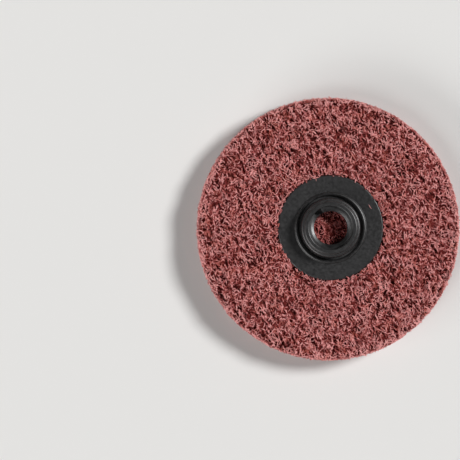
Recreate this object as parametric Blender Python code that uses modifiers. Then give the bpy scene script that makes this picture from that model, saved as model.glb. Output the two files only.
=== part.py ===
"""A 50 mm quick-change surface conditioning disc, lying on its working face.

It is two pieces. The pad is a die-cut round of non-woven abrasive web, with open pits between its strands on every
face. The hub is one black moulding bonded into a shallow seat in the pad: a flange, a bead, a groove and a boss
whose bore has a coarse right-hand thread for the holder's stud.

The origin is the centre of the working face, +Z points from the pad to the hub, and lengths are in metres.
"""

import math

import bmesh
import bpy
from mathutils import Matrix, Vector, noise

# Pad of non-woven web
PAD_DIAMETER = 0.0500
PAD_THICKNESS = 0.0060
PAD_EDGE_RADIUS = 0.0006
SEAT_DEPTH = 0.0014

# Pits of the web: their spacing is across the strands, which lie at another angle on each face, seen from above
FACE_PIT_DEPTH = 0.0006
WALL_PIT_DEPTH = 0.00025
PIT_SPACING = 0.0021
STRAND_STRETCH = 1.5
WORKING_FACE_STRAND_ANGLE = math.radians(143)
HUB_SIDE_STRAND_ANGLE = math.radians(116)
STRAND_LEVEL = -0.02
PIT_LEVEL = 0.26

# Hub: bore, land, step, shoulder and boss, from the axis outwards
HUB_OFF_CENTRE = Vector((0.00045, 0.00022, 0.0))
BORE_DIAMETER = 0.0082
BORE_CHAMFER = 0.0002
LAND_WIDTH = 0.00070
LAND_EDGE_RADIUS = 0.00020
STEP_WIDTH = 0.00030
STEP_DEPTH = 0.00030
SHOULDER_WIDTH = 0.00046
SHOULDER_RADIUS = 0.00022
BOSS_HEIGHT = 0.0034
BOSS_DRAFT = math.radians(2)

# Hub: groove, bead and flange, outside the boss
GROOVE_WIDTH = 0.00043
GROOVE_DEPTH = 0.00025
BEAD_RADIUS = 0.00034
BEAD_WALL_HEIGHT = 0.00016
FLANGE_RIM_WIDTH = 0.0032
FLANGE_THICKNESS = 0.0010
FLANGE_EDGE_RADIUS = 0.00035

# Hub: right-hand thread, one ridge in the bore, whose number of turns follows from the bore's length
THREAD_DEPTH = 0.00095
THREAD_PITCH = 0.0018
THREAD_ROOT_WIDTH = 0.00135
THREAD_CREST_WIDTH = 0.0004
THREAD_START_ANGLE = math.radians(118)
THREAD_END_MARGIN = 0.00012

# Fits between the pieces
BOND_GAP = 0.0003
SEAT_CLEARANCE = 0.0003
THREAD_SINK = 0.0002

# Fineness of the meshes
PAD_GRID = 36
PAD_WALL_ROWS = 5
EDGE_STEPS = 2
ROUND_STEPS = 64
ARC_STEPS = 3
THREAD_STEPS_PER_TURN = 40
SHARP_ANGLE = math.radians(35)

# Colours, as linear red, green and blue
WEB_COLOUR = (0.235, 0.072, 0.068)
HUB_COLOUR = (0.030, 0.029, 0.030)

# Heights above the working face
SEAT_FLOOR = PAD_THICKNESS - SEAT_DEPTH
HUB_BOTTOM = SEAT_FLOOR + BOND_GAP
FLANGE_TOP = HUB_BOTTOM + FLANGE_THICKNESS
GROOVE_FLOOR = FLANGE_TOP - GROOVE_DEPTH
BOSS_TOP = FLANGE_TOP + BOSS_HEIGHT
SHOULDER_LEVEL = BOSS_TOP - STEP_DEPTH
THREAD_TOP = BOSS_TOP - BORE_CHAMFER - THREAD_END_MARGIN

# Radii from the hub's axis
BORE_RADIUS = BORE_DIAMETER / 2
LAND_END_RADIUS = BORE_RADIUS + LAND_WIDTH
SHOULDER_START_RADIUS = LAND_END_RADIUS + STEP_WIDTH
BOSS_RADIUS = SHOULDER_START_RADIUS + SHOULDER_WIDTH
BOSS_FOOT_RADIUS = BOSS_RADIUS + (SHOULDER_LEVEL - GROOVE_FLOOR) * math.tan(BOSS_DRAFT)
BEAD_CENTRE_RADIUS = BOSS_FOOT_RADIUS + GROOVE_WIDTH + BEAD_RADIUS
FLANGE_RADIUS = BEAD_CENTRE_RADIUS + BEAD_RADIUS + FLANGE_RIM_WIDTH


def clear_scene():
    for obj in list(bpy.data.objects):
        bpy.data.objects.remove(obj, do_unlink=True)


def new_collection(name):
    collection = bpy.data.collections.new(name)
    bpy.context.scene.collection.children.link(collection)
    return collection


def new_material(name, colour, roughness):
    material = bpy.data.materials.new(name)
    material.use_nodes = True
    shader = material.node_tree.nodes["Principled BSDF"]
    shader.inputs["Base Color"].default_value = (*colour, 1.0)
    shader.inputs["Roughness"].default_value = roughness
    shader.inputs["Metallic"].default_value = 0.0
    return material


def object_from(bm, name, collection):
    mesh = bpy.data.meshes.new(name)
    bm.to_mesh(mesh)
    bm.free()
    obj = bpy.data.objects.new(name, mesh)
    collection.objects.link(obj)
    return obj


def make_helper(obj):
    """Marks a cutter or a joined shape, which is not a piece of its own."""
    obj.hide_render = True
    obj.display_type = "WIRE"


def apply_modifiers(obj):
    """Turns the object's evaluated shape into its own mesh, shaded smooth apart from its sharp edges."""
    evaluated = obj.evaluated_get(bpy.context.evaluated_depsgraph_get())
    mesh = bpy.data.meshes.new_from_object(evaluated)
    obj.modifiers.clear()
    obj.data = mesh
    mesh.name = obj.name
    mesh.shade_smooth()
    mesh.set_sharp_from_angle(angle=SHARP_ANGLE)


def arc(centre, radius, start, end, steps):
    """Points of a circular arc in a section, from one angle to another in degrees."""
    points = []
    for step in range(steps + 1):
        angle = math.radians(start + (end - start) * step / steps)
        points.append((centre[0] + radius * math.cos(angle), centre[1] + radius * math.sin(angle)))
    return points


def square_to_disc(x, y):
    """Moves a point of the square from -1 to 1 onto the unit disc, keeping areas even."""
    if x == 0 and y == 0:
        return 0.0, 0.0
    if abs(x) >= abs(y):
        radius, angle = x, math.pi / 4 * y / x
    else:
        radius, angle = y, math.pi / 2 - math.pi / 4 * x / y
    return radius * math.cos(angle), radius * math.sin(angle)


def pad_layers():
    """Height and inset from the pad's rim of each layer, from the working face up to the hub side."""
    corner = [
        (PAD_EDGE_RADIUS * (1 - math.sin(turn)), PAD_EDGE_RADIUS * (1 - math.cos(turn)))
        for turn in (math.pi / 2 * step / EDGE_STEPS for step in range(EDGE_STEPS, -1, -1))
    ]
    wall = PAD_THICKNESS - 2 * PAD_EDGE_RADIUS
    rows = [(PAD_EDGE_RADIUS + wall * row / PAD_WALL_ROWS, 0.0) for row in range(1, PAD_WALL_ROWS)]
    upper = [(PAD_THICKNESS - height, inset) for height, inset in reversed(corner)]
    return corner + rows + upper


def pit_share(point):
    """How far the web is open at a point: 0 on its strands, and 1 in the middle of a pit."""
    turn = (HUB_SIDE_STRAND_ANGLE - WORKING_FACE_STRAND_ANGLE) * point.z / PAD_THICKNESS
    place = Matrix.Rotation(-WORKING_FACE_STRAND_ANGLE - turn, 3, "Z") @ point
    place.x /= STRAND_STRETCH
    return min(max((noise.noise(place / PIT_SPACING) - STRAND_LEVEL) / (PIT_LEVEL - STRAND_LEVEL), 0.0), 1.0)


def open_pits(bm):
    """Sinks the pad's vertices along their normals, so that pits lie between flat-topped strands."""
    bm.normal_update()
    sunk = []
    for vert in bm.verts:
        depth = WALL_PIT_DEPTH + (FACE_PIT_DEPTH - WALL_PIT_DEPTH) * abs(vert.normal.z)
        sunk.append(vert.co - vert.normal * depth * pit_share(vert.co))
    for vert, place in zip(bm.verts, sunk):
        vert.co = place


def build_web_body(collection):
    """The pad as a round of web: a disc-shaped grid raised through its layers, then opened into pits."""
    bm = bmesh.new()
    bmesh.ops.create_grid(bm, x_segments=PAD_GRID, y_segments=PAD_GRID, size=1.0)
    for vert in bm.verts:
        vert.co.xy = square_to_disc(vert.co.x, vert.co.y)
    layers = pad_layers()
    cap = [*bm.faces, *bm.edges, *bm.verts]
    height, inset = layers[0]
    bmesh.ops.scale(bm, vec=Vector((PAD_DIAMETER / 2 - inset,) * 2 + (1.0,)), verts=bm.verts)
    for next_height, next_inset in layers[1:]:
        cap = bmesh.ops.extrude_face_region(bm, geom=cap)["geom"]
        moved = [item for item in cap if isinstance(item, bmesh.types.BMVert)]
        growth = (PAD_DIAMETER / 2 - next_inset) / (PAD_DIAMETER / 2 - inset)
        bmesh.ops.scale(bm, vec=Vector((growth, growth, 1.0)), verts=moved)
        bmesh.ops.translate(bm, vec=Vector((0.0, 0.0, next_height - height)), verts=moved)
        height, inset = next_height, next_inset
    bmesh.ops.recalc_face_normals(bm, faces=bm.faces)
    open_pits(bm)
    bmesh.ops.triangulate(bm, faces=bm.faces, quad_method="SHORT_EDGE")
    return object_from(bm, "abrasive_fleece", collection)


def build_seat_cutter(collection):
    """The space that the flange is pressed into, with room round it and through the pad's upper face."""
    height = SEAT_DEPTH * 2
    radius = FLANGE_RADIUS + SEAT_CLEARANCE
    bm = bmesh.new()
    bmesh.ops.create_cone(
        bm, cap_ends=True, segments=ROUND_STEPS, radius1=radius, radius2=radius, depth=height
    )
    cutter = object_from(bm, "flange_seat", collection)
    cutter.location = HUB_OFF_CENTRE + Vector((0.0, 0.0, SEAT_FLOOR + height / 2))
    make_helper(cutter)
    return cutter


def build_fleece(parts, helpers, material):
    fleece = build_web_body(parts)
    fleece.data.materials.append(material)
    seat = fleece.modifiers.new("flange seat", "BOOLEAN")
    seat.operation = "DIFFERENCE"
    seat.object = build_seat_cutter(helpers)
    apply_modifiers(fleece)


def hub_section():
    """The hub's section, as radius and height: up the bore, down the step, over the bead and down the flange's edge."""
    shoulder_centre = (BOSS_RADIUS - SHOULDER_RADIUS, SHOULDER_LEVEL - SHOULDER_RADIUS)
    edge_centre = (FLANGE_RADIUS - FLANGE_EDGE_RADIUS, FLANGE_TOP - FLANGE_EDGE_RADIUS)
    return [
        (BORE_RADIUS, HUB_BOTTOM),
        (BORE_RADIUS, BOSS_TOP - BORE_CHAMFER),
        (BORE_RADIUS + BORE_CHAMFER, BOSS_TOP),
        *arc((LAND_END_RADIUS, BOSS_TOP - LAND_EDGE_RADIUS), LAND_EDGE_RADIUS, 90, 30, ARC_STEPS),
        (SHOULDER_START_RADIUS, SHOULDER_LEVEL),
        *arc(shoulder_centre, SHOULDER_RADIUS, 90, 0, ARC_STEPS),
        (BOSS_FOOT_RADIUS, GROOVE_FLOOR),
        (BOSS_FOOT_RADIUS + GROOVE_WIDTH, GROOVE_FLOOR),
        *arc((BEAD_CENTRE_RADIUS, FLANGE_TOP + BEAD_WALL_HEIGHT), BEAD_RADIUS, 180, 0, 2 * ARC_STEPS),
        (BEAD_CENTRE_RADIUS + BEAD_RADIUS, FLANGE_TOP),
        *arc(edge_centre, FLANGE_EDGE_RADIUS, 90, 0, ARC_STEPS),
        (FLANGE_RADIUS, HUB_BOTTOM),
    ]


def build_hub_body(collection):
    """The hub without its thread: its section turned about the bore's axis."""
    bm = bmesh.new()
    verts = [bm.verts.new((radius, 0.0, height)) for radius, height in hub_section()]
    for first, second in zip(verts, verts[1:] + verts[:1]):
        bm.edges.new((first, second))
    body = object_from(bm, "threaded_hub", collection)
    body.location = HUB_OFF_CENTRE
    turned = body.modifiers.new("turned section", "SCREW")
    turned.axis = "Z"
    turned.steps = ROUND_STEPS
    turned.render_steps = ROUND_STEPS
    turned.use_merge_vertices = True
    turned.merge_threshold = 0.00001
    turned.use_normal_calculate = True
    return body


def build_thread_ridge(collection):
    """The thread: a tapered ridge that starts under the bore's chamfer and winds down clockwise, seen from above."""
    root = BORE_RADIUS + THREAD_SINK
    crest = BORE_RADIUS - THREAD_DEPTH
    middle = THREAD_TOP - THREAD_ROOT_WIDTH / 2
    turns = (middle - THREAD_ROOT_WIDTH / 2 - THREAD_END_MARGIN - HUB_BOTTOM) / THREAD_PITCH
    steps = math.ceil(THREAD_STEPS_PER_TURN * turns)
    corners = [
        (root, middle + THREAD_ROOT_WIDTH / 2),
        (crest, middle + THREAD_CREST_WIDTH / 2),
        (crest, middle - THREAD_CREST_WIDTH / 2),
        (root, middle - THREAD_ROOT_WIDTH / 2),
    ]
    bm = bmesh.new()
    section = bm.faces.new([bm.verts.new((radius, 0.0, height)) for radius, height in corners])
    bmesh.ops.spin(
        bm,
        geom=[section, *section.edges, *section.verts],
        axis=Vector((0.0, 0.0, 1.0)),
        dvec=Vector((0.0, 0.0, -THREAD_PITCH * turns / steps)),
        angle=-2 * math.pi * turns,
        steps=steps,
    )
    bmesh.ops.rotate(bm, matrix=Matrix.Rotation(THREAD_START_ANGLE, 3, "Z"), verts=bm.verts)
    bmesh.ops.recalc_face_normals(bm, faces=bm.faces)
    ridge = object_from(bm, "thread_ridge", collection)
    ridge.location = HUB_OFF_CENTRE
    make_helper(ridge)
    return ridge


def build_hub(parts, helpers, material):
    hub = build_hub_body(parts)
    hub.data.materials.append(material)
    thread = hub.modifiers.new("thread", "BOOLEAN")
    thread.operation = "UNION"
    thread.object = build_thread_ridge(helpers)
    apply_modifiers(hub)


def main():
    clear_scene()
    parts = new_collection("surface_conditioning_disc")
    helpers = new_collection("cutters")
    build_fleece(parts, helpers, new_material("abrasive web", WEB_COLOUR, 0.75))
    build_hub(parts, helpers, new_material("black nylon", HUB_COLOUR, 0.42))


main()
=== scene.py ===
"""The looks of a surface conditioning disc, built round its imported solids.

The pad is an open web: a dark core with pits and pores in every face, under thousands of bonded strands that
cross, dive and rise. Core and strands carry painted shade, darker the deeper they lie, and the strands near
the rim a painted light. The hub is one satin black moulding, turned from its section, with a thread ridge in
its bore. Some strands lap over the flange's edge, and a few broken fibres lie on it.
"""

import math

import bmesh
import bpy
import numpy as np
from mathutils import Matrix, Vector, noise


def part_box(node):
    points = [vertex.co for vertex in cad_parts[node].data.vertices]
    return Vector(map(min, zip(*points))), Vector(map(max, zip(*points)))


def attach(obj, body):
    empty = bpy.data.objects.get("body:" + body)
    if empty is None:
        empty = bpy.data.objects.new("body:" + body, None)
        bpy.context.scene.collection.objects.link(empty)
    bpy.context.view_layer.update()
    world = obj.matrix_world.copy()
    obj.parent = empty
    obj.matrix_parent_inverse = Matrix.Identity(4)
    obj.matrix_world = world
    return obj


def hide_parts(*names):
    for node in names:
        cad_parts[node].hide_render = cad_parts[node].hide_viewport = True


MM = 0.001

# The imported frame: places and sizes that everything here follows
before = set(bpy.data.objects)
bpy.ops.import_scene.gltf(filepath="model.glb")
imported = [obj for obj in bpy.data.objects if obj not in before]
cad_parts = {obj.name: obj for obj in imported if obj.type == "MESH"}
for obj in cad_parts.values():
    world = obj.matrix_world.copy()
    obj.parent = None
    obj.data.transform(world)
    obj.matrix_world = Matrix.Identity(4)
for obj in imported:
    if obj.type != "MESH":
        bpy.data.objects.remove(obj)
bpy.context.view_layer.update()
PAD_LOW, PAD_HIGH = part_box("abrasive_fleece")
HUB_LOW, HUB_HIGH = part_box("threaded_hub")
PAD_RADIUS = (PAD_HIGH.x - PAD_LOW.x) / 2
PAD_TOP = PAD_HIGH.z
HUB_AXIS = Vector(((HUB_LOW.x + HUB_HIGH.x) / 2, (HUB_LOW.y + HUB_HIGH.y) / 2, 0.0))
HUB_PLACE = np.array(HUB_AXIS.xy)
PAD_PLACE = np.zeros(2)
FLANGE_RADIUS = (HUB_HIGH.x - HUB_LOW.x) / 2
HUB_BOTTOM = HUB_LOW.z
BOSS_TOP = HUB_HIGH.z

# The hub's own sizes, as in the solids, with finer rounds
FLANGE_THICKNESS = 1.0 * MM
FLANGE_TOP = HUB_BOTTOM + FLANGE_THICKNESS
FLANGE_EDGE_ROUND = 0.2 * MM
BORE_RADIUS = 4.1 * MM
BORE_LIP_ROUND = 0.2 * MM
LAND_END = 4.91 * MM
LAND_ROUND = 0.26 * MM
SHOULDER_START = 5.1 * MM
STEP_DEPTH = 0.3 * MM
SHOULDER_ROUND = 0.32 * MM
BOSS_RADIUS = 5.56 * MM
BOSS_FOOT_RADIUS = 5.677 * MM
GROOVE_DEPTH = 0.25 * MM
BEAD_START = 6.107 * MM
BEAD_END = 6.787 * MM
BEAD_HEIGHT = 0.5 * MM
BEAD_ROUND = 0.33 * MM
FINE_ROUND = 0.07 * MM
THREAD_DEPTH = 0.95 * MM
THREAD_PITCH = 1.8 * MM
THREAD_ROOT_WIDTH = 1.35 * MM
THREAD_CREST_WIDTH = 0.7 * MM
THREAD_SHOULDER_WIDTH = 1.16 * MM
THREAD_SHOULDER_RADIUS = 3.66 * MM
THREAD_SHOULDER_ROUND = 0.7 * MM
THREAD_END_MARGIN = 0.2 * MM
THREAD_SINK = 0.2 * MM
THREAD_START_ANGLE = math.radians(118)
THREAD_ROUND = 0.17 * MM
HUB_STEPS = 160
THREAD_STEPS_PER_TURN = 96

# Each round's steps, the short flat beside it, the edges that stay sharp, and how near counts as one point
ROUND_STEPS = 5
ROUND_GUARD = 0.03 * MM
SHARP_EDGE = math.radians(50)
SAME_POINT = 0.001 * MM

# The web: its lay on each face, seen from above, how deep it is open, and what seeds its chance
HUB_SIDE_LAY = math.radians(116)
WORKING_FACE_LAY = math.radians(143)
WEB_DEPTH = 1.0 * MM
WEB_SEED = 7

# The hub's seat in the pad
SEAT_GAP = 0.3 * MM
SEAT_FLOOR = HUB_BOTTOM - SEAT_GAP
SEAT_RADIUS = FLANGE_RADIUS + SEAT_GAP

# The photograph's frame: pixels of its 460 by 460, and the disc's place and size in it
PHOTO_PIXELS = 460
DISC_CENTRE_PIXEL = (328.2, 229.0)
DISC_RADIUS_PIXELS = 131.7
PIXEL = PAD_RADIUS / DISC_RADIUS_PIXELS

# A Mix node's sockets for two colours and for what comes out
FIRST_COLOUR = 6
SECOND_COLOUR = 7
MIXED_COLOUR = 2


class Socket:
    """A node's output, on which arithmetic adds Math nodes."""

    def __init__(self, finish, output):
        self.finish = finish
        self.output = output

    def maths(self, operation, first, second):
        return self.finish.node("ShaderNodeMath", {"operation": operation}, {0: first, 1: second})

    def __add__(self, other):
        return self.maths("ADD", self, other)

    def __sub__(self, other):
        return self.maths("SUBTRACT", self, other)

    def __rsub__(self, other):
        return self.maths("SUBTRACT", other, self)

    def __mul__(self, other):
        return self.maths("MULTIPLY", self, other)

    __radd__ = __add__
    __rmul__ = __mul__


class Finish:
    """A material: its constant values, and the nodes that pattern it."""

    def __init__(self, name, **constants):
        self.material = bpy.data.materials.new(name)
        self.material.use_nodes = True
        self.tree = self.material.node_tree
        self.shader = self.tree.nodes["Principled BSDF"]
        for socket, value in constants.items():
            self.shader.inputs[socket.replace("_", " ")].default_value = value

    def node(self, kind, settings, sockets, output=0):
        """Adds a node, sets it up, then gives its sockets their values or links."""
        node = self.tree.nodes.new(kind)
        for name, value in settings.items():
            if name == "stops":
                self.set_stops(node.color_ramp, value)
            else:
                setattr(node, name, value)
        for key, value in sockets.items():
            self.connect(value, node.inputs[key])
        return Socket(self, node.outputs[output])

    def set_stops(self, ramp, stops):
        while len(ramp.elements) < len(stops):
            ramp.elements.new(1.0)
        for element, (position, colour) in zip(ramp.elements, stops):
            element.position = position
            element.color = colour

    def connect(self, value, target):
        if isinstance(value, Socket):
            self.tree.links.new(value.output, target)
        else:
            target.default_value = value

    def feed(self, name, value):
        self.connect(value, self.shader.inputs[name])

    def place(self):
        return self.node("ShaderNodeTexCoord", {}, {}, "Object")

    def attribute(self, name):
        return self.node("ShaderNodeAttribute", {"attribute_name": name}, {}, "Fac")

    def grain(self, size, detail=2.0, roughness=0.5):
        """Noise from 0 to 1 whose features are about this many metres across."""
        sockets = {"Vector": self.place(), "Scale": 1 / size, "Detail": detail, "Roughness": roughness}
        return self.node("ShaderNodeTexNoise", {}, sockets, "Fac")

    def stretch(self, value, low, high, start=0.0, end=1.0):
        """Value moved from the range low to high onto start to end, and held there."""
        sockets = {"Value": value, "From Min": low, "From Max": high, "To Min": start, "To Max": end}
        return self.node("ShaderNodeMapRange", {"clamp": True}, sockets)

    def ramp(self, value, *stops):
        return self.node("ShaderNodeValToRGB", {"stops": stops}, {"Fac": value}, "Color")

    def mix(self, share, first, second):
        sockets = {"Factor": share, FIRST_COLOUR: first, SECOND_COLOUR: second}
        return self.node("ShaderNodeMix", {"data_type": "RGBA"}, sockets, MIXED_COLOUR)

    def bump(self, height, distance, strength):
        sockets = {"Height": height, "Distance": distance, "Strength": strength}
        return self.node("ShaderNodeBump", {}, sockets, "Normal")


def linear(red, green, blue):
    """A colour given as 0 to 255 on the screen, as the linear values that a shader takes."""
    return tuple(((x / 255 + 0.055) / 1.055) ** 2.4 for x in (red, green, blue)) + (1.0,)


def strand_finish():
    """Nylon strands coated in maroon resin and grain, glossy, with painted shade: pale on top and painted
    darker deep in the web.
    """
    finish = Finish("bonded web strand", IOR=1.5, Specular_IOR_Level=0.35)
    tone = finish.attribute("tone") + finish.grain(size=0.35 * MM) * 0.7 - 0.35
    body = finish.ramp(
        tone,
        (0.0, linear(64, 2, 2)),
        (0.3, linear(112, 22, 21)),
        (0.65, linear(180, 87, 85)),
        (1.0, linear(240, 170, 167)),
    )
    warmth = finish.stretch(finish.grain(size=1.3 * MM, detail=3.0), low=0.48, high=0.68)
    body = finish.mix(warmth * 0.3, body, linear(208, 104, 80))
    dust = finish.stretch(finish.grain(size=1.7 * MM, detail=4.0), low=0.52, high=0.72)
    body = finish.mix(dust * 0.35, body, linear(158, 108, 108))
    grit = finish.stretch(finish.grain(size=0.09 * MM, detail=1.0), low=0.6, high=0.7)
    finish.feed("Base Color", finish.mix(grit * 0.4, body, linear(222, 176, 164)))
    gloss = finish.stretch(finish.grain(size=0.25 * MM), low=0.3, high=0.7, start=0.38, end=0.62)
    finish.feed("Roughness", gloss)
    skin = finish.grain(size=0.12 * MM)
    finish.feed("Normal", finish.bump(skin, distance=0.04 * MM, strength=0.6))
    return finish.material


def core_finish():
    """The web's inside, where resin, strands and painted shade run together into dark maroon, painted darker
    still in pits and pores.
    """
    finish = Finish("web core", Roughness=0.9, Specular_IOR_Level=0.2)
    tone = finish.attribute("tone") + finish.grain(size=0.3 * MM, detail=3.0) * 0.6 - 0.3
    colour = finish.ramp(
        tone,
        (0.0, linear(46, 6, 5)),
        (0.6, linear(72, 15, 13)),
        (1.0, linear(110, 38, 36)),
    )
    finish.feed("Base Color", colour)
    skin = finish.grain(size=0.2 * MM, detail=3.0)
    finish.feed("Normal", finish.bump(skin, distance=0.1 * MM, strength=0.8))
    return finish.material


def hub_finish():
    """Satin black moulded nylon, with a faint mottle and dust in its skin."""
    finish = Finish("black nylon", IOR=1.5, Specular_IOR_Level=0.9)
    mottle = finish.stretch(finish.grain(size=0.6 * MM, detail=5.0, roughness=0.75), low=0.35, high=0.65)
    finish.feed("Base Color", finish.mix(mottle, linear(8, 8, 8), linear(40, 39, 40)))
    sheen = finish.stretch(finish.grain(size=0.5 * MM, detail=4.0, roughness=0.75), low=0.35, high=0.65)
    finish.feed("Roughness", sheen * 0.14 + 0.33)
    skin = finish.grain(size=0.2 * MM, detail=3.0, roughness=0.7)
    finish.feed("Normal", finish.bump(skin, distance=0.02 * MM, strength=0.4))
    return finish.material


def floor_finish():
    finish = Finish("pale floor", Roughness=0.9)
    finish.feed("Base Color", linear(232, 231, 229))
    return finish.material


def put_in_scene(mesh, name, material):
    obj = bpy.data.objects.new(name, mesh)
    bpy.context.scene.collection.objects.link(obj)
    mesh.materials.append(material)
    return obj


def mesh_from(bm, name):
    mesh = bpy.data.meshes.new(name)
    bm.to_mesh(mesh)
    bm.free()
    return mesh


def rounded_section(corners):
    """A closed section's points: each corner (radius, height, round) becomes an arc between short flats."""
    points = []
    for index, (across, up, rounding) in enumerate(corners):
        here = Vector((across, up))
        before = (Vector(corners[index - 1][:2]) - here).normalized()
        after = (Vector(corners[(index + 1) % len(corners)][:2]) - here).normalized()
        if rounding == 0:
            points.append(here)
            continue
        half = before.angle(after) / 2
        reach = rounding / math.tan(half)
        centre = here + (before + after).normalized() * (rounding / math.sin(half))
        start = here + before * reach - centre
        end = here + after * reach - centre
        turn = start.angle_signed(end)
        points.append(centre + start + before * ROUND_GUARD)
        for step in range(ROUND_STEPS + 1):
            spoke = Matrix.Rotation(-turn * step / ROUND_STEPS, 2) @ start
            points.append(centre + spoke)
        points.append(centre + end + after * ROUND_GUARD)
    return points


def hub_section():
    """The hub's section, from the foot of its bore over the step and the bead to the flange's foot."""
    shoulder = BOSS_TOP - STEP_DEPTH
    groove = FLANGE_TOP - GROOVE_DEPTH
    bead_top = FLANGE_TOP + BEAD_HEIGHT
    return rounded_section([
        (BORE_RADIUS, HUB_BOTTOM, FINE_ROUND),
        (BORE_RADIUS, BOSS_TOP, BORE_LIP_ROUND),
        (LAND_END, BOSS_TOP, LAND_ROUND),
        (SHOULDER_START, shoulder, FINE_ROUND),
        (BOSS_RADIUS, shoulder, SHOULDER_ROUND),
        (BOSS_FOOT_RADIUS, groove, FINE_ROUND),
        (BEAD_START, groove, FINE_ROUND),
        (BEAD_START, bead_top, BEAD_ROUND),
        (BEAD_END, bead_top, BEAD_ROUND),
        (BEAD_END, FLANGE_TOP, FINE_ROUND),
        (FLANGE_RADIUS, FLANGE_TOP, FLANGE_EDGE_ROUND),
        (FLANGE_RADIUS, HUB_BOTTOM, FINE_ROUND),
    ])


def ring_of_edges(bm, points):
    """Vertices at these radii and heights on the +X side, joined into a closed loop."""
    verts = [bm.verts.new((across, 0.0, up)) for across, up in points]
    edges = [bm.edges.new(pair) for pair in zip(verts, verts[1:] + verts[:1])]
    return verts, edges


def add_thread(bm):
    """A rounded ridge that winds clockwise down the bore from its start, with its root sunk in the wall."""
    root = BORE_RADIUS + THREAD_SINK
    crest = BORE_RADIUS - THREAD_DEPTH
    top = BOSS_TOP - BORE_LIP_ROUND - THREAD_END_MARGIN
    middle = top - THREAD_ROOT_WIDTH / 2
    turns = (middle - THREAD_ROOT_WIDTH / 2 - THREAD_END_MARGIN - HUB_BOTTOM) / THREAD_PITCH
    steps = math.ceil(THREAD_STEPS_PER_TURN * turns)
    corners = [
        (root, middle + THREAD_ROOT_WIDTH / 2, 0.0),
        (THREAD_SHOULDER_RADIUS, middle + THREAD_SHOULDER_WIDTH / 2, THREAD_SHOULDER_ROUND),
        (crest, middle + THREAD_CREST_WIDTH / 2, THREAD_ROUND),
        (crest, middle - THREAD_CREST_WIDTH / 2, THREAD_ROUND),
        (THREAD_SHOULDER_RADIUS, middle - THREAD_SHOULDER_WIDTH / 2, THREAD_SHOULDER_ROUND),
        (root, middle - THREAD_ROOT_WIDTH / 2, 0.0),
    ]
    verts, edges = ring_of_edges(bm, rounded_section(corners))
    face = bm.faces.new(verts)
    before = set(bm.verts) - set(verts)
    bmesh.ops.spin(
        bm,
        geom=[face, *edges, *verts],
        axis=Vector((0.0, 0.0, 1.0)),
        dvec=Vector((0.0, 0.0, -THREAD_PITCH * turns / steps)),
        angle=-2 * math.pi * turns,
        steps=steps,
    )
    made = [vert for vert in bm.verts if vert not in before]
    bmesh.ops.rotate(bm, matrix=Matrix.Rotation(THREAD_START_ANGLE, 3, "Z"), verts=made)


def make_hub(material):
    bm = bmesh.new()
    verts, edges = ring_of_edges(bm, hub_section())
    bmesh.ops.spin(
        bm,
        geom=[*verts, *edges],
        axis=Vector((0.0, 0.0, 1.0)),
        angle=2 * math.pi,
        steps=HUB_STEPS,
        use_merge=True,
    )
    bmesh.ops.remove_doubles(bm, verts=bm.verts, dist=SAME_POINT)
    add_thread(bm)
    bmesh.ops.translate(bm, vec=HUB_AXIS, verts=bm.verts)
    bmesh.ops.recalc_face_normals(bm, faces=bm.faces)
    mesh = mesh_from(bm, "moulded_hub")
    mesh.shade_smooth()
    mesh.set_sharp_from_angle(angle=SHARP_EDGE)
    hub = put_in_scene(mesh, "moulded_hub", material)
    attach(hub, "root")
    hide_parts("threaded_hub")


# The web's core: a fine grid in the shape of the pad, sunk below the strands and into pits and pores
CORE_GRID = 140
CORE_WALL_ROWS = 14
CORE_EDGE_STEPS = 4
CORE_EDGE_ROUND = 0.5 * MM
CORE_SINK = 0.4 * MM
FACE_PIT_DEPTH = 0.4 * MM
WALL_PIT_DEPTH = 0.25 * MM
PIT_SPACING = 2.1 * MM
PIT_STRETCH = 1.5
PIT_RANGE = (-0.02, 0.26)
# Painted shade: how much darker the core's tone is in a pit
PIT_SHADE = 0.4
PORE_DEPTH = 0.55 * MM
SEAT_PORE_DEPTH = 0.2 * MM
PORE_SPACING = 0.8 * MM
PORE_STRETCH = 2.1
# Painted shade: how much darker the core's tone is in a pore
PORE_SHADE = 0.6

# A pore's form: how far and how finely its walls wander, how steep they are, and how unlike the pores are
WALL_WANDER = 0.35
WALL_WANDER_RATE = 1.7
WALL_STEEPNESS = 1.6
PORE_OPENNESS = 0.8
PORE_VARIETY = 0.4
PORE_VARIETY_RATE = 0.9
PORE_CLOSED = 0.1

# The core's map: its margin, the centres of the two faces' discs, and the rim's strip below them
MAP_MARGIN = 0.01
MAP_WORKING_FACE = 0.25
MAP_HUB_SIDE = 0.75
MAP_FACE_HEIGHT = 0.75
MAP_RIM_HEIGHT = 0.2
MAP_RIM_TURN = 2.1 * math.pi


def square_to_disc(x, y):
    """Moves a point of the square from -1 to 1 onto the unit disc, keeping areas even."""
    if x == 0 and y == 0:
        return 0.0, 0.0
    if abs(x) >= abs(y):
        radius, angle = x, math.pi / 4 * y / x
    else:
        radius, angle = y, math.pi / 2 - math.pi / 4 * x / y
    return radius * math.cos(angle), radius * math.sin(angle)


def core_layers():
    """Height and inset from the rim of each layer of the core, from the working face up."""
    turns = [math.pi / 2 * step / CORE_EDGE_STEPS for step in range(CORE_EDGE_STEPS, -1, -1)]
    corner = [
        (CORE_EDGE_ROUND * (1 - math.sin(turn)), CORE_EDGE_ROUND * (1 - math.cos(turn)))
        for turn in turns
    ]
    wall = PAD_TOP - 2 * CORE_EDGE_ROUND
    rows = [(CORE_EDGE_ROUND + wall * row / CORE_WALL_ROWS, 0.0) for row in range(1, CORE_WALL_ROWS)]
    return corner + rows + [(PAD_TOP - height, inset) for height, inset in reversed(corner)]


def along_the_lay(place, stretch, spacing):
    """A place of the web in steps of this spacing, drawn out along the lay of the nearer face."""
    lay = WORKING_FACE_LAY + (HUB_SIDE_LAY - WORKING_FACE_LAY) * place.z / PAD_TOP
    turned = Matrix.Rotation(-lay, 3, "Z") @ place
    turned.x /= stretch
    return turned / spacing


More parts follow.
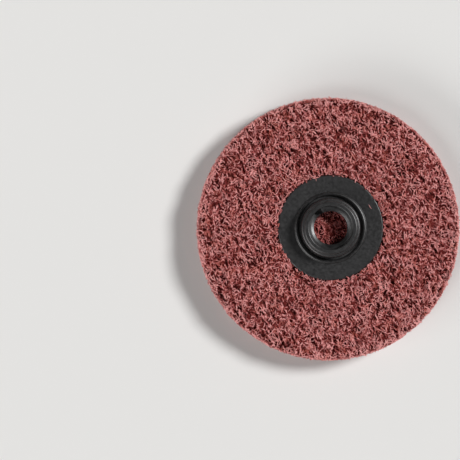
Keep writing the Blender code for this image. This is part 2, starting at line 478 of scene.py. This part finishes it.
def pit_share(place):
    """How open the web is: 0 on its flat lands and 1 in the middle of a pit, where the solids have theirs."""
    low, high = PIT_RANGE
    hollow = noise.noise(along_the_lay(place, PIT_STRETCH, PIT_SPACING))
    return min(max((hollow - low) / (high - low), 0.0), 1.0)


def pore_share(place):
    """From 0 where strands bond to 1 in the middle of a pore. Pores are stretched cells, some wide open."""
    turned = along_the_lay(place, PORE_STRETCH, PORE_SPACING)
    turned += noise.noise_vector(turned * WALL_WANDER_RATE) * WALL_WANDER
    near = noise.voronoi(turned)[0]
    inside = min((near[1] - near[0]) * WALL_STEEPNESS, 1.0)
    variety = PORE_VARIETY * noise.noise(turned * PORE_VARIETY_RATE)
    return min(max(PORE_OPENNESS * inside + variety - PORE_CLOSED, 0.0), 1.0)


def sink_core(bm):
    """Sinks the core below the strands, into pits and pores and under the hub, and returns its tones: painted
    shade, darker in pits and pores.
    """
    bm.normal_update()
    moved, tones = [], []
    for vert in bm.verts:
        pit, pore = pit_share(vert.co), pore_share(vert.co)
        pit_depth = WALL_PIT_DEPTH + (FACE_PIT_DEPTH - WALL_PIT_DEPTH) * abs(vert.normal.z)
        place = vert.co - vert.normal * (CORE_SINK + pit_depth * pit + PORE_DEPTH * pore)
        faces_up = vert.normal.z > 0.5
        if faces_up and (vert.co - HUB_AXIS).xy.length < SEAT_RADIUS:
            place.z = SEAT_FLOOR - SEAT_PORE_DEPTH * pore
        moved.append(place)
        # Painted shade: the core's tone is darker in pits and pores
        tones.append(1 - PIT_SHADE * pit - PORE_SHADE * pore)
    for vert, place in zip(bm.verts, moved):
        vert.co = place
    return tones


def lay_out_core(bm, under, over):
    """The core's own map: the working face and the hub side as two discs, and the rim as a strip below."""
    layer = bm.loops.layers.uv.new("OFBake")
    radius = (0.5 - 2 * MAP_MARGIN) / 2
    discs = {face: MAP_WORKING_FACE for face in under} | {face: MAP_HUB_SIDE for face in over}
    for face in bm.faces:
        disc = discs.get(face)
        turn = math.atan2(face.calc_center_median().y, face.calc_center_median().x)
        for loop in face.loops:
            place = loop.vert.co
            if disc is not None:
                u = disc + place.x / PAD_RADIUS * radius
                v = MAP_FACE_HEIGHT + place.y / PAD_RADIUS * radius
            else:
                away = (math.atan2(place.y, place.x) - turn + math.pi) % (2 * math.pi) - math.pi
                u = MAP_MARGIN + (1 - 2 * MAP_MARGIN) * (0.5 + (turn + away) / MAP_RIM_TURN)
                v = MAP_MARGIN + MAP_RIM_HEIGHT * place.z / PAD_TOP
            loop[layer].uv = (u, v)


def make_core(material):
    """The dark inside of the web: a disc of the pad's size, raised layer by layer and then sunk."""
    bm = bmesh.new()
    bmesh.ops.create_grid(bm, x_segments=CORE_GRID, y_segments=CORE_GRID, size=1.0)
    for vert in bm.verts:
        vert.co.xy = square_to_disc(vert.co.x, vert.co.y)
    under = list(bm.faces)
    cap = [*bm.faces, *bm.edges, *bm.verts]
    layers = core_layers()
    height, inset = layers[0]
    bmesh.ops.scale(bm, vec=Vector((PAD_RADIUS - inset,) * 2 + (1.0,)), verts=bm.verts)
    for next_height, next_inset in layers[1:]:
        cap = bmesh.ops.extrude_face_region(bm, geom=cap)["geom"]
        moved = [item for item in cap if isinstance(item, bmesh.types.BMVert)]
        growth = (PAD_RADIUS - next_inset) / (PAD_RADIUS - inset)
        bmesh.ops.scale(bm, vec=Vector((growth, growth, 1.0)), verts=moved)
        bmesh.ops.translate(bm, vec=Vector((0.0, 0.0, next_height - height)), verts=moved)
        height, inset = next_height, next_inset
    over = [item for item in cap if isinstance(item, bmesh.types.BMFace)]
    bmesh.ops.recalc_face_normals(bm, faces=bm.faces)
    tones = sink_core(bm)
    lay_out_core(bm, under, over)
    mesh = mesh_from(bm, "web_core")
    mesh.attributes.new("tone", "FLOAT", "POINT").data.foreach_set("value", tones)
    mesh.shade_smooth()
    core = put_in_scene(mesh, "web_core", material)
    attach(core, "root")
    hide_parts("abrasive_fleece")


# Strands: their points and the step between them, and how far they bend from step to step
STRAND_POINTS = 6
STRAND_STEP = 0.3 * MM
STRAND_BEND = 0.3
BEND_RANGE = (0.3, 1.4)
WAVER = 0.7

# A strand's radius, and its thickness as a share of the usual: its own, and how much more where resin gathers
STRAND_RADIUS = 0.074 * MM
OWN_THICKNESS = (0.8, 1.15)
RESIN_THICKNESS = (-0.2, 0.6)
THICKEST_STRAND = OWN_THICKNESS[1] * (1 + RESIN_THICKNESS[1]) * STRAND_RADIUS

# How strands dive into pores and at their ends, the power that keeps most of them near the surface, and the
# radians of their weaving from point to point
PORE_REACH = 0.7 * MM
END_DIVE = 0.2 * MM
LEVEL_POWER = 1.5
WEAVE_RATE = (0.9, 2.0)

# What is kept of a strand that is cut, where it closes to a tip, and its tile's margin in the map
SHORTEST_RUN = 3
SHORTEST_STEP = 0.1
TIP_CLOSES = 0.0005 * MM
TILE_MARGIN = 0.08


def wandering_lines(rng, count, points, lay, spread, bend):
    """Flat wandering lines round the origin, as an array of strands by points by two.

    More of them run along the lay where the spread is below 1. Some are nearly straight, and others curl.
    """
    heading = rng.uniform(0, 2 * np.pi, count)
    heading = np.arctan2(spread * np.sin(heading), np.cos(heading)) + lay
    bend = bend * rng.uniform(*BEND_RANGE, (count, 1))
    steady = bend * rng.normal(0, 1, (count, 1))
    turns = steady + WAVER * bend * rng.normal(0, 1, (count, points))
    heading = heading[:, None] + np.cumsum(turns, axis=1)
    steps = np.stack([np.cos(heading), np.sin(heading)], axis=2) * STRAND_STEP
    lines = np.cumsum(steps, axis=1)
    return lines - lines[:, points // 2 : points // 2 + 1]


def weaving_depths(rng, surface, pit_depth, deepest, swing):
    """Depth below the face at each place of the surface, and how much of it is the pit's own.

    A strand follows the pits and pores from a level of its own, and weaves up and down.
    """
    count, points = surface.shape[:2]
    places = [[Vector(place) for place in line] for line in surface]
    pits = pit_depth * np.array([[pit_share(place) for place in line] for line in places])
    pores = np.array([[pore_share(place) for place in line] for line in places])
    level = deepest * rng.uniform(0, 1, (count, 1)) ** LEVEL_POWER
    phase = rng.uniform(0, 2 * np.pi, (count, 1))
    rate = rng.uniform(*WEAVE_RATE, (count, 1))
    wave = np.sin(phase + rate * np.arange(points)[None, :])
    depths = pits + PORE_REACH * pores + level + swing * wave
    depths[:, 0] += END_DIVE
    depths[:, -1] += END_DIVE
    return np.maximum(depths, 0.0), pits


def on_face(lines, height):
    """Flat lines, as places on a face at this height."""
    return np.concatenate([lines, np.full(lines.shape[:2] + (1,), height)], axis=2)


def runs_inside(line, margin):
    """The stretches of a line with a margin above 0, each lengthened to where the margin is just 0."""
    inside = margin > 0
    start = 0
    while start < len(line):
        if not inside[start]:
            start += 1
            continue
        end = start
        while end + 1 < len(line) and inside[end + 1]:
            end += 1
        before = cut_between(line, margin, start, start - 1)
        after = cut_between(line, margin, end, end + 1)
        run = np.concatenate([before, line[start : end + 1], after])
        if len(run) >= SHORTEST_RUN:
            yield run
        start = end + 1


def cut_between(line, margin, inside, outside):
    """The place between two points where the margin is 0, or none where it is too close to the one inside."""
    if not 0 <= outside < len(line):
        return line[:0]
    share = margin[inside] / (margin[inside] - margin[outside])
    place = line[inside] + (line[outside] - line[inside]) * share
    return place[None] if share > SHORTEST_STEP else line[:0]


def make_strands(name, strands, material):
    """One mesh of many strands, each (line, thickness, tone): closed tubes, each with a tile of the map."""
    curve = bpy.data.curves.new(name, "CURVE")
    curve.dimensions = "3D"
    curve.bevel_depth = STRAND_RADIUS
    curve.bevel_resolution = 0
    rings, tones = [], []
    for line, thickness, tone in strands:
        spline = curve.splines.new("POLY")
        spline.points.add(len(line) - 1)
        spline.points.foreach_set("co", np.column_stack([line, np.ones(len(line))]).ravel())
        spline.points.foreach_set("radius", np.concatenate([[0], thickness[1:-1], [0]]))
        rings.append(len(line))
        tones.append(tone)
    holder = bpy.data.objects.new(name, curve)
    bpy.context.scene.collection.objects.link(holder)
    evaluated = holder.evaluated_get(bpy.context.evaluated_depsgraph_get())
    mesh = bpy.data.meshes.new_from_object(evaluated)
    mesh.name = name
    bpy.data.objects.remove(holder, do_unlink=True)
    sides = len(mesh.vertices) // sum(rings)
    shown = np.repeat(np.concatenate(tones), sides)
    mesh.attributes.new("tone", "FLOAT", "POINT").data.foreach_set("value", shown)
    lay_out_strands(mesh, np.array(rings), sides)
    close_tips(mesh)
    mesh.materials.clear()
    mesh.shade_smooth()
    piece = put_in_scene(mesh, name, material)
    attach(piece, "root")


def lay_out_strands(mesh, rings, sides):
    """Gives each strand a tile of the map named OFBake: round the strand one way, along it the other."""
    owner = np.repeat(np.arange(len(rings)), rings * sides)
    ring = np.concatenate([np.repeat(np.arange(count), sides) for count in rings])
    side = np.tile(np.arange(sides), rings.sum())
    corner_vertex = np.empty(len(mesh.loops), np.int32)
    mesh.loops.foreach_get("vertex_index", corner_vertex)
    round_it = side[corner_vertex].reshape(-1, 4)
    wraps = np.ptp(round_it, axis=1) == sides - 1
    round_it = np.where(wraps[:, None] & (round_it == 0), sides, round_it).ravel()
    strand = owner[corner_vertex]
    across = math.ceil(math.sqrt(len(rings)))
    column, row = strand % across, strand // across
    along = ring[corner_vertex] / (rings[strand] - 1)
    width = 1 - 2 * TILE_MARGIN
    u = (column + TILE_MARGIN + width * round_it / sides) / across
    v = (row + TILE_MARGIN + width * along) / across
    for layer in list(mesh.uv_layers):
        mesh.uv_layers.remove(layer)
    layer = mesh.uv_layers.new(name="OFBake")
    layer.uv.foreach_set("vector", np.column_stack([u, v]).astype(np.float32).ravel())


def close_tips(mesh):
    """Merges each strand's first and last rings, which have no radius, into its two tips."""
    bm = bmesh.new()
    bm.from_mesh(mesh)
    bmesh.ops.remove_doubles(bm, verts=bm.verts, dist=TIP_CLOSES)
    bmesh.ops.recalc_face_normals(bm, faces=bm.faces)
    bm.to_mesh(mesh)
    bm.free()


def thickness_along(rng, points):
    """A strand's thickness at each point, as a share of the usual one: thicker where resin gathers."""
    return rng.uniform(*OWN_THICKNESS) * (1 + rng.uniform(*RESIN_THICKNESS, points))


def scattered(rng, lines, radius):
    """Moves each line to a place of its own within this radius."""
    away = np.sqrt(rng.uniform(0, 1, len(lines))) * radius
    turn = rng.uniform(0, 2 * np.pi, len(lines))
    return lines + np.stack([away * np.cos(turn), away * np.sin(turn)], axis=1)[:, None]


def distance_from(axis, places):
    """How far each place is from the upright axis at this x and y."""
    return np.linalg.norm(places[:, :2] - axis, axis=1)


# Strands of the two faces: how many, their lay's spread, how deep they start, and how far they weave
HUB_SIDE_STRANDS = 14500
WORKING_FACE_STRANDS = 9350
FACE_SPREAD = 0.33
FACE_LEVELS = 0.4 * MM
FACE_SWING = 0.16 * MM

# How far they stand out of the rim, and stay back from the flange, with deeper notches here and there
FUZZ = 0.07 * MM
LONGEST_FUZZ = 0.3 * MM
FLANGE_GAP = (-0.02 * MM, 0.1 * MM)
NOTCH_SPACING = 1.3 * MM
NOTCH_START = 0.1
NOTCH_DEPTH = 0.8 * MM

# Their tone: at the surface, the painted shade it loses by the web's depth, the share of a pit's depth that
# is left out of that, the painted light it gains in the band along the rim, and how unlike the strands are
FACE_TONE = 0.9
FACE_SHADE = 1.15
PIT_LIGHT = 1.3
RIM_BAND_START = PAD_RADIUS - 1.6 * MM
RIM_BAND_RISE = 1.2 * MM
RIM_PAINTED_LIGHT = 0.48
FACE_TONE_VARIETY = 0.12


def face_strands(rng, count, lay, is_hub_side):
    """Strands of one face: lines over the whole disc, cut at the rim and round the hub."""
    lines = wandering_lines(rng, count, STRAND_POINTS, lay, FACE_SPREAD, STRAND_BEND)
    lines = scattered(rng, lines, PAD_RADIUS)
    surface = on_face(lines, PAD_TOP if is_hub_side else 0.0)
    depths, pits = weaving_depths(rng, surface, FACE_PIT_DEPTH, FACE_LEVELS, FACE_SWING)
    fuzz = np.minimum(rng.exponential(FUZZ, count), LONGEST_FUZZ)
    notches = np.array([noise.noise(Vector((*line[0], 0.0)) / NOTCH_SPACING) for line in lines])
    gaps = rng.uniform(*FLANGE_GAP, count) + NOTCH_DEPTH * np.maximum(notches - NOTCH_START, 0.0)
    brightness = rng.normal(0.0, FACE_TONE_VARIETY, (count, 1))
    brightness = brightness + rng.normal(0.0, FACE_TONE_VARIETY, (count, STRAND_POINTS))
    made = []
    for line, depth, pit, stand_out, gap, bright in zip(lines, depths, pits, fuzz, gaps, brightness):
        margin = PAD_RADIUS - STRAND_RADIUS + stand_out - distance_from(PAD_PLACE, line)
        if is_hub_side:
            margin = np.minimum(margin, distance_from(HUB_PLACE, line) - FLANGE_RADIUS - gap)
        height = PAD_TOP - STRAND_RADIUS - depth if is_hub_side else THICKEST_STRAND + depth
        for run in runs_inside(np.column_stack([line, height, pit, bright]), margin):
            level = PAD_TOP - STRAND_RADIUS - run[:, 2] if is_hub_side else run[:, 2] - THICKEST_STRAND
            # Painted shade: darker the deeper a strand lies in the web; painted light: lighter in the band
            # along the rim
            shade = FACE_SHADE * (level - PIT_LIGHT * run[:, 3]) / WEB_DEPTH
            near_rim = (distance_from(PAD_PLACE, run) - RIM_BAND_START) / RIM_BAND_RISE
            light = RIM_PAINTED_LIGHT * np.clip(near_rim, 0, 1)
            tone = np.clip(FACE_TONE - shade + light + run[:, 4], 0, 1)
            made.append((run[:, :3], thickness_along(rng, len(run)), tone))
    return made


# Strands over the flange's edge: how many, where their middles lie, how far they lap over and dive, and tone
EDGE_STRANDS = 180
EDGE_POINTS = 5
EDGE_PLACE = 0.25 * MM
EDGE_SCATTER = 0.3 * MM
USUAL_LAP = 0.1 * MM
LONGEST_LAP = 0.5 * MM
EDGE_HEIGHT = FLANGE_TOP + 1.2 * STRAND_RADIUS
EDGE_LIFT = 0.08 * MM
EDGE_DIVE = 0.35 * MM
EDGE_DIVE_REACH = 1.2 * MM
EDGE_TONE = 0.75
EDGE_TONE_VARIETY = 0.15


def flange_edge_strands(rng, count):
    """Strands that lap over the flange's rounded edge and lie on it, with their outer ends in the web."""
    lines = wandering_lines(rng, count, EDGE_POINTS, 0.0, 1.0, STRAND_BEND)
    turn = rng.uniform(0, 2 * np.pi, count)
    away = FLANGE_RADIUS + rng.normal(EDGE_PLACE, EDGE_SCATTER, count)
    lines += np.stack([away * np.cos(turn), away * np.sin(turn)], axis=1)[:, None]
    laps = np.minimum(rng.exponential(USUAL_LAP, count), LONGEST_LAP)
    made = []
    for line, lap in zip(lines, laps):
        from_hub = np.linalg.norm(line, axis=1)
        dive = EDGE_DIVE * np.clip((from_hub - FLANGE_RADIUS) / EDGE_DIVE_REACH, 0, 1)
        height = EDGE_HEIGHT + rng.uniform(0, EDGE_LIFT) - dive
        places = np.column_stack([line + HUB_PLACE, height])
        for run in runs_inside(places, from_hub - FLANGE_RADIUS + lap):
            if distance_from(HUB_PLACE, run).max() > FLANGE_RADIUS:
                tone = np.full(len(run), np.clip(EDGE_TONE + rng.normal(0, EDGE_TONE_VARIETY), 0, 1))
                made.append((run, thickness_along(rng, len(run)), tone))
    return made


# Broken fibres on the flange: both ends of each in the photograph's pixels, and how they lie
LOOSE_FIBRES = (
    ((368.3, 204.0), (371.8, 209.4)),
    ((315.5, 177.2), (316.3, 181.4)),
    ((281.5, 197.1), (286.4, 202.5)),
)
FIBRE_POINTS = 5
FIBRE_WAVER = 0.03 * MM
FIBRE_THICKNESS = 0.7
FIBRE_HEIGHT = FLANGE_TOP + 0.8 * STRAND_RADIUS


def pixel_place(x, y):
    """The place in the frame that this pixel of the photograph shows."""
    return np.array([(x - DISC_CENTRE_PIXEL[0]) * PIXEL, (DISC_CENTRE_PIXEL[1] - y) * PIXEL])


def loose_fibres(rng):
    """Broken fibres that lie on the flange where the photograph shows them."""
    made = []
    for start, end in LOOSE_FIBRES:
        share = np.linspace(0, 1, FIBRE_POINTS)[:, None]
        line = pixel_place(*start) * (1 - share) + pixel_place(*end) * share
        line += rng.normal(0, FIBRE_WAVER, (FIBRE_POINTS, 2))
        places = np.column_stack([line, np.full(FIBRE_POINTS, FIBRE_HEIGHT)])
        made.append((places, np.full(FIBRE_POINTS, FIBRE_THICKNESS), np.ones(FIBRE_POINTS)))
    return made


# Strands of the cut rim: how many, their spread, how deep they start and weave, their cut ends, and tone,
# with painted shade darker the deeper they lie
RIM_STRANDS = 4900
RIM_SPREAD = 0.3
RIM_LEVELS = 0.4 * MM
RIM_SWING = 0.08 * MM
CUT_END = (0.05 * MM, 0.4 * MM)
CUT_END_SHARE = 0.12
RIM_TONE = 0.9
RIM_SHADE = 0.9
RIM_TONE_VARIETY = 0.17


def rim_strands(rng, count):
    """Strands that show in the cut rim: most lie flat in their layers, seen from the side."""
    lines = wandering_lines(rng, count, STRAND_POINTS, 0.0, RIM_SPREAD, STRAND_BEND)
    around = rng.uniform(0, 2 * np.pi * PAD_RADIUS, count)
    height = rng.uniform(0.0, PAD_TOP, count)
    lines += np.stack([around, height], axis=1)[:, None]
    turn = lines[:, :, 0] / PAD_RADIUS
    surface = np.stack([PAD_RADIUS * np.cos(turn), PAD_RADIUS * np.sin(turn), lines[:, :, 1]], axis=2)
    depths, _ = weaving_depths(rng, surface, WALL_PIT_DEPTH, RIM_LEVELS, RIM_SWING)
    ends = rng.uniform(*CUT_END, count)
    stands_out = rng.uniform(0, 1, count) < CUT_END_SHARE
    depths[:, -1] -= np.where(stands_out, ends + depths[:, -1], 0.0)
    brightness = rng.normal(0.0, RIM_TONE_VARIETY, count)
    made = []
    for line, place, depth, bright in zip(lines, surface, depths, brightness):
        margin = np.minimum(line[:, 1], PAD_TOP - line[:, 1]) - THICKEST_STRAND
        scale = (PAD_RADIUS - STRAND_RADIUS - depth) / PAD_RADIUS
        places = np.column_stack([place[:, 0] * scale, place[:, 1] * scale, place[:, 2]])
        for run in runs_inside(places, margin):
            level = PAD_RADIUS - STRAND_RADIUS - distance_from(PAD_PLACE, run)
            # Painted shade: darker the deeper a strand lies inside the cut rim
            tone = np.clip(RIM_TONE - RIM_SHADE * level / WEB_DEPTH + bright, 0, 1)
            made.append((run, thickness_along(rng, len(run)), tone))
    return made


# Strands at the bottom of the bore: how many, their spread, how high, how deep they start and weave, and
# tone, which painted shade darkens the deeper they lie
BORE_STRANDS = 400
BORE_SPREAD = 0.8
BORE_STRANDS_TOP = HUB_BOTTOM + 0.15 * MM
BORE_LEVELS = 0.3 * MM
BORE_SWING = 0.1 * MM
BORE_TONE = 0.8


def bore_strands(rng, count):
    """The web that shows through the bore, at the floor of the hub's seat."""
    lines = wandering_lines(rng, count, STRAND_POINTS, HUB_SIDE_LAY, BORE_SPREAD, STRAND_BEND)
    lines = scattered(rng, lines, BORE_RADIUS)
    depths, _ = weaving_depths(rng, on_face(lines, SEAT_FLOOR), 0.0, BORE_LEVELS, BORE_SWING)
    made = []
    for line, depth in zip(lines, depths):
        margin = BORE_RADIUS - STRAND_RADIUS - np.linalg.norm(line, axis=1)
        places = np.column_stack([line + HUB_PLACE, BORE_STRANDS_TOP - depth])
        for run in runs_inside(places, margin):
            # Painted shade: darker the deeper a strand lies below the top of the bore's web
            tone = np.clip(BORE_TONE - (BORE_STRANDS_TOP - run[:, 2]) / WEB_DEPTH, 0, 1)
            made.append((run, thickness_along(rng, len(run)), tone))
    return made


def make_web(strand, core):
    """The core and all its strands. Each face's strands are two pieces, because one would be too large."""
    noise.seed_set(WEB_SEED)
    rng = np.random.default_rng(WEB_SEED)
    make_core(core)
    hub_side = face_strands(rng, HUB_SIDE_STRANDS, HUB_SIDE_LAY, True)
    working = face_strands(rng, WORKING_FACE_STRANDS, WORKING_FACE_LAY, False)
    middle = len(hub_side) // 2
    make_strands("hub_side_strands_lower", hub_side[:middle], strand)
    make_strands("hub_side_strands_upper", hub_side[middle:], strand)
    middle = len(working) // 2
    make_strands("working_face_strands_lower", working[:middle], strand)
    make_strands("working_face_strands_upper", working[middle:], strand)
    make_strands("rim_strands", rim_strands(rng, RIM_STRANDS), strand)
    make_strands("bore_strands", bore_strands(rng, BORE_STRANDS), strand)
    make_strands("flange_edge_strands", flange_edge_strands(rng, EDGE_STRANDS), strand)
    make_strands("loose_fibres", loose_fibres(rng), strand)


# The camera looks straight down, as the photograph does
CAMERA_DISTANCE = 0.9
SENSOR = 36 * MM
NEAREST_SEEN = 0.05

# The floor, and the backdrop that its rim curves up into
FLOOR_RADIUS = 1.2
FLOOR_SIDES = 96
BACKDROP_HEIGHT = 0.3
BACKDROP_REACH = 0.6
BACKDROP_STEPS = 8

# Lamps: azimuth and elevation in degrees, strength, and spread in degrees
KEY = (22, 44, 2.7, 17)
HIGH_FILL = (222, 56, 0.48, 24)
LOW_FILLS = ((200, 24, 0.5, 20), (218, 24, 0.5, 20), (236, 24, 0.5, 20))
SURROUNDING_LIGHT = 0.015


def make_camera():
    camera = bpy.data.objects.new("camera", bpy.data.cameras.new("camera"))
    bpy.context.scene.collection.objects.link(camera)
    right = (DISC_CENTRE_PIXEL[0] - PHOTO_PIXELS / 2) * PIXEL
    up = (PHOTO_PIXELS / 2 - DISC_CENTRE_PIXEL[1]) * PIXEL
    camera.location = (-right, -up, PAD_TOP + CAMERA_DISTANCE)
    camera.data.sensor_width = SENSOR / MM
    camera.data.lens = SENSOR / MM * CAMERA_DISTANCE / (PHOTO_PIXELS * PIXEL)
    camera.data.clip_start = NEAREST_SEEN
    camera.data.clip_end = 4 * FLOOR_RADIUS
    bpy.context.scene.camera = camera


def make_sun(name, azimuth, elevation, strength, spread):
    """A soft lamp: azimuth is counter-clockwise from the photograph's right, elevation up from the floor."""
    lamp = bpy.data.lights.new(name, "SUN")
    lamp.energy = strength
    lamp.angle = math.radians(spread)
    obj = bpy.data.objects.new(name, lamp)
    bpy.context.scene.collection.objects.link(obj)
    turn, tilt = math.radians(azimuth), math.radians(elevation)
    towards = Vector((math.cos(turn) * math.cos(tilt), math.sin(turn) * math.cos(tilt), math.sin(tilt)))
    obj.rotation_euler = towards.to_track_quat("Z", "Y").to_euler()


def make_world(brightness):
    """Faint, even light from all round."""
    world = bpy.data.worlds.new("studio")
    bpy.context.scene.world = world
    world.use_nodes = True
    background = world.node_tree.nodes["Background"]
    background.inputs["Color"].default_value = (1.0, 1.0, 1.0, 1.0)
    background.inputs["Strength"].default_value = brightness


def make_floor():
    """A wide round floor whose rim curves up into a backdrop, for the views from the side."""
    bm = bmesh.new()
    bmesh.ops.create_circle(bm, cap_ends=True, segments=FLOOR_SIDES, radius=FLOOR_RADIUS)
    rim = [edge for edge in bm.edges if edge.is_boundary]
    radius, height = FLOOR_RADIUS, 0.0
    for step in range(1, BACKDROP_STEPS + 1):
        share = step / BACKDROP_STEPS
        next_radius = FLOOR_RADIUS + BACKDROP_REACH * share
        next_height = BACKDROP_HEIGHT * share**2
        raised = bmesh.ops.extrude_edge_only(bm, edges=rim)["geom"]
        rim = [item for item in raised if isinstance(item, bmesh.types.BMEdge)]
        moved = [item for item in raised if isinstance(item, bmesh.types.BMVert)]
        bmesh.ops.scale(bm, vec=Vector((next_radius / radius,) * 2 + (1.0,)), verts=moved)
        bmesh.ops.translate(bm, vec=Vector((0.0, 0.0, next_height - height)), verts=moved)
        radius, height = next_radius, next_height
    bmesh.ops.recalc_face_normals(bm, faces=bm.faces)
    mesh = mesh_from(bm, "floor")
    mesh.shade_smooth()
    floor = put_in_scene(mesh, "floor", floor_finish())


def make_studio():
    scene = bpy.context.scene
    scene.view_settings.view_transform = "Standard"
    make_camera()
    make_floor()
    make_world(SURROUNDING_LIGHT)
    make_sun("key", *KEY)
    make_sun("high_fill", *HIGH_FILL)
    for low_fill in LOW_FILLS:
        make_sun("fill", *low_fill)


make_studio()
make_hub(hub_finish())
make_web(strand_finish(), core_finish())
